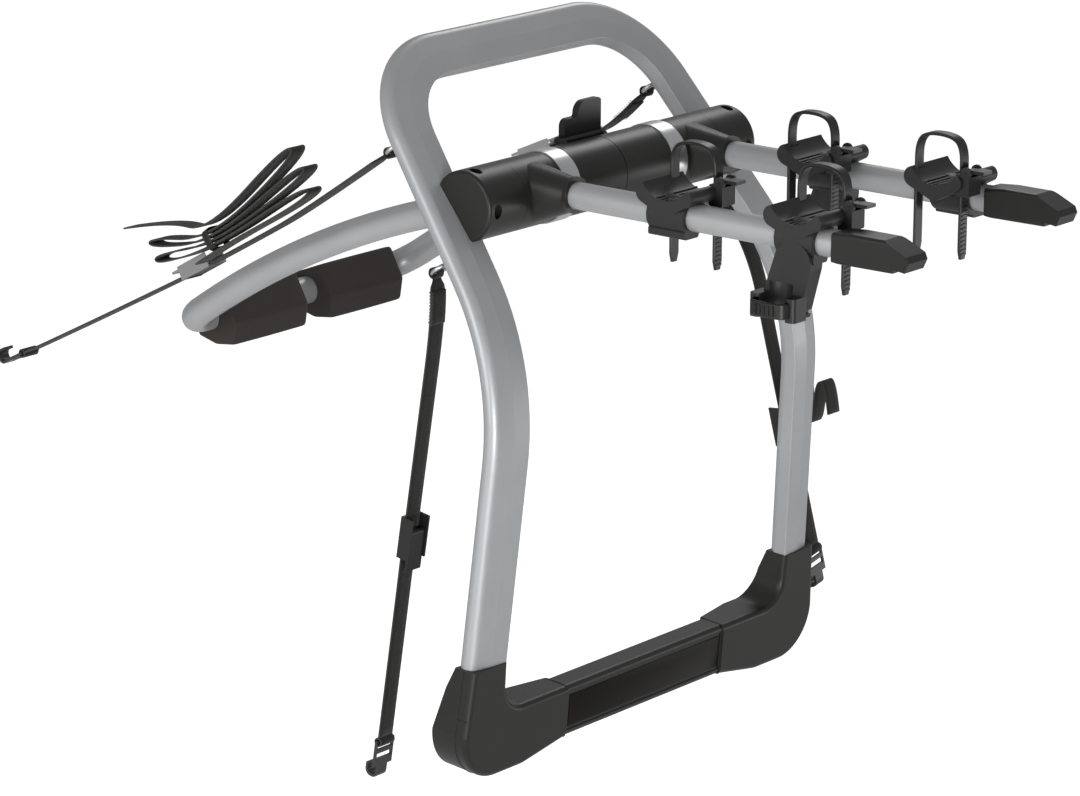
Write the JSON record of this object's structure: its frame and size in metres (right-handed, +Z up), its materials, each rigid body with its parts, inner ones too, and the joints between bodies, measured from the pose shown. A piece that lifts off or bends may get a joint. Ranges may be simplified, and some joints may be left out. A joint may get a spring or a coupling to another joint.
{
  "type": "trunk mounted bike rack",
  "caption": "Trunk-mounted bicycle carrier: tube hoop on a moulded base, folding carrier arms with strapped cradles, padded support hoop, webbing straps with cam buckles and hooks.",
  "frame": {"origin": "middle of the hub, on the axle's centre line", "axes": "+X along the hub's axle to the right as seen from behind the car, +Y towards the car, +Z up; the carrier arms point along -Y"},
  "size_m": [0.711, 1.3449, 0.8767],
  "materials": {
    "silver_tube": "satin silver-grey coat",
    "silver_ring": "turned satin",
    "axle_steel": "bright",
    "charcoal_plastic": "satin moulded",
    "lever_plastic": "satin moulded",
    "foam": "closed-cell foam",
    "cradle_rubber": "soft moulded",
    "strap_rubber": "soft moulded",
    "pawl_plastic": "satin moulded",
    "webbing": "woven",
    "buckle_steel": "zinc plated",
    "buckle_black": "black coated",
    "hook_steel": "dipped steel"
  },
  "bodies": {
    "rack": {"main_hoop": "silver_tube", "hub_axle": "axle_steel", "lock_disc": "axle_steel", "hub_cap_left": "charcoal_plastic", "hub_cap_right": "charcoal_plastic", "base_bar": "charcoal_plastic", "bumper_pad": "foam", "base_corner_left": "charcoal_plastic", "base_corner_right": "charcoal_plastic", "strap_eyes": "axle_steel", "webbing_top_left": "webbing", "cam_frame_top_left": "buckle_steel", "end_webbing_top_left": "webbing", "hook_top_left": "hook_steel", "webbing_top_right": "webbing", "cam_frame_top_right": "buckle_steel", "end_webbing_top_right": "webbing", "hook_top_right": "hook_steel", "webbing_side_left": "webbing", "cam_frame_side_left": "buckle_black", "end_webbing_side_left": "webbing", "hook_side_left": "hook_steel", "webbing_side_right": "webbing", "cam_frame_side_right": "buckle_black", "end_webbing_side_right": "webbing", "hook_side_right": "hook_steel", "hank_top_left": "webbing", "hank_side_right": "webbing"},
    "arms": {"hub_barrel": "charcoal_plastic", "hub_rings": "silver_ring", "arm_socket_left": "charcoal_plastic", "arm_socket_right": "charcoal_plastic", "arm_left": "silver_tube", "arm_right": "silver_tube", "arm_cap_left": "lever_plastic", "arm_cap_right": "lever_plastic"},
    "release_lever": {"release_lever": "lever_plastic"},
    "support": {"support_hoop": "silver_tube", "support_pad_left": "foam", "support_pad_right": "foam"},
    "cradle_near_inner": {"cradle_near_inner": "cradle_rubber", "cradle_strap_near_inner": "strap_rubber"},
    "pawl_near_inner": {"cradle_pawl_near_inner": "pawl_plastic"},
    "cradle_near_outer": {"cradle_near_outer": "cradle_rubber", "cradle_strap_near_outer": "strap_rubber", "sway_arm_near_outer": "cradle_rubber", "sway_strap_near_outer": "strap_rubber"},
    "pawl_near_outer": {"cradle_pawl_near_outer": "pawl_plastic"},
    "cradle_far_inner": {"cradle_far_inner": "cradle_rubber", "cradle_strap_far_inner": "strap_rubber", "sway_arm_far_inner": "cradle_rubber", "sway_strap_far_inner": "strap_rubber"},
    "pawl_far_inner": {"cradle_pawl_far_inner": "pawl_plastic"},
    "cradle_far_outer": {"cradle_far_outer": "cradle_rubber", "cradle_strap_far_outer": "strap_rubber"},
    "pawl_far_outer": {"cradle_pawl_far_outer": "pawl_plastic"},
    "cam_lever_top_left": {"cam_lever_top_left": "buckle_steel"},
    "cam_lever_top_right": {"cam_lever_top_right": "buckle_steel"},
    "cam_lever_side_left": {"cam_lever_side_left": "buckle_black"},
    "cam_lever_side_right": {"cam_lever_side_right": "buckle_black"}
  },
  "joints": [
    {"name": "arms_fold", "type": "hinge", "parent": "rack", "child": "arms", "pos_m": [0, 0, 0], "axis": [1, 0, 0], "range_deg": [-25, 85]},
    {"name": "lever_pull", "type": "hinge", "parent": "arms", "child": "release_lever", "pos_m": [0, 0.03118, 0.03715], "axis": [1, 0, 0], "range_deg": [-30, 0], "stiffness_Nm_per_rad": 0.6, "springref_deg": 8.59},
    {"name": "support_fold", "type": "hinge", "parent": "rack", "child": "support", "pos_m": [0, 0, 0], "axis": [1, 0, 0], "range_deg": [-60, 15]},
    {"name": "cradle_turn_near_inner", "type": "hinge", "parent": "arms", "child": "cradle_near_inner", "pos_m": [-0.1471, -0.23, 0.0087], "axis": [0, 1, 0], "range_deg": [-15, 15]},
    {"name": "pawl_lift_near_inner", "type": "hinge", "parent": "cradle_near_inner", "child": "pawl_near_inner", "pos_m": [-0.1111, -0.27125, 0.0457], "axis": [-1, 0, 0], "range_deg": [0, 50]},
    {"name": "cradle_turn_near_outer", "type": "hinge", "parent": "arms", "child": "cradle_near_outer", "pos_m": [-0.1471, -0.409, 0.0087], "axis": [0, 1, 0], "range_deg": [-15, 15]},
    {"name": "pawl_lift_near_outer", "type": "hinge", "parent": "cradle_near_outer", "child": "pawl_near_outer", "pos_m": [-0.1111, -0.45025, 0.0457], "axis": [-1, 0, 0], "range_deg": [0, 50]},
    {"name": "cradle_turn_far_inner", "type": "hinge", "parent": "arms", "child": "cradle_far_inner", "pos_m": [0.1471, -0.23, 0.0087], "axis": [0, 1, 0], "range_deg": [-15, 15]},
    {"name": "pawl_lift_far_inner", "type": "hinge", "parent": "cradle_far_inner", "child": "pawl_far_inner", "pos_m": [0.1111, -0.27125, 0.0457], "axis": [-1, 0, 0], "range_deg": [0, 50]},
    {"name": "cradle_turn_far_outer", "type": "hinge", "parent": "arms", "child": "cradle_far_outer", "pos_m": [0.1471, -0.411, 0.0087], "axis": [0, 1, 0], "range_deg": [-15, 15]},
    {"name": "pawl_lift_far_outer", "type": "hinge", "parent": "cradle_far_outer", "child": "pawl_far_outer", "pos_m": [0.1111, -0.45225, 0.0457], "axis": [-1, 0, 0], "range_deg": [0, 50]},
    {"name": "cam_lift_top_left", "type": "hinge", "parent": "rack", "child": "cam_lever_top_left", "pos_m": [-0.23714, 0.42332, -0.133], "axis": [1, 0, 0], "range_deg": [0, 60]},
    {"name": "cam_lift_top_right", "type": "hinge", "parent": "rack", "child": "cam_lever_top_right", "pos_m": [0.23714, 0.28365, -0.04849], "axis": [1, 0, 0], "range_deg": [0, 60]},
    {"name": "cam_lift_side_left", "type": "hinge", "parent": "rack", "child": "cam_lever_side_left", "pos_m": [-0.26724, 0.05826, -0.39558], "axis": [-1, 0, 0], "range_deg": [0, 60]},
    {"name": "cam_lift_side_right", "type": "hinge", "parent": "rack", "child": "cam_lever_side_right", "pos_m": [0.32212, -0.0373, -0.36606], "axis": [0.983, 0.0212, 0.1824], "range_deg": [0, 60]}
  ]
}
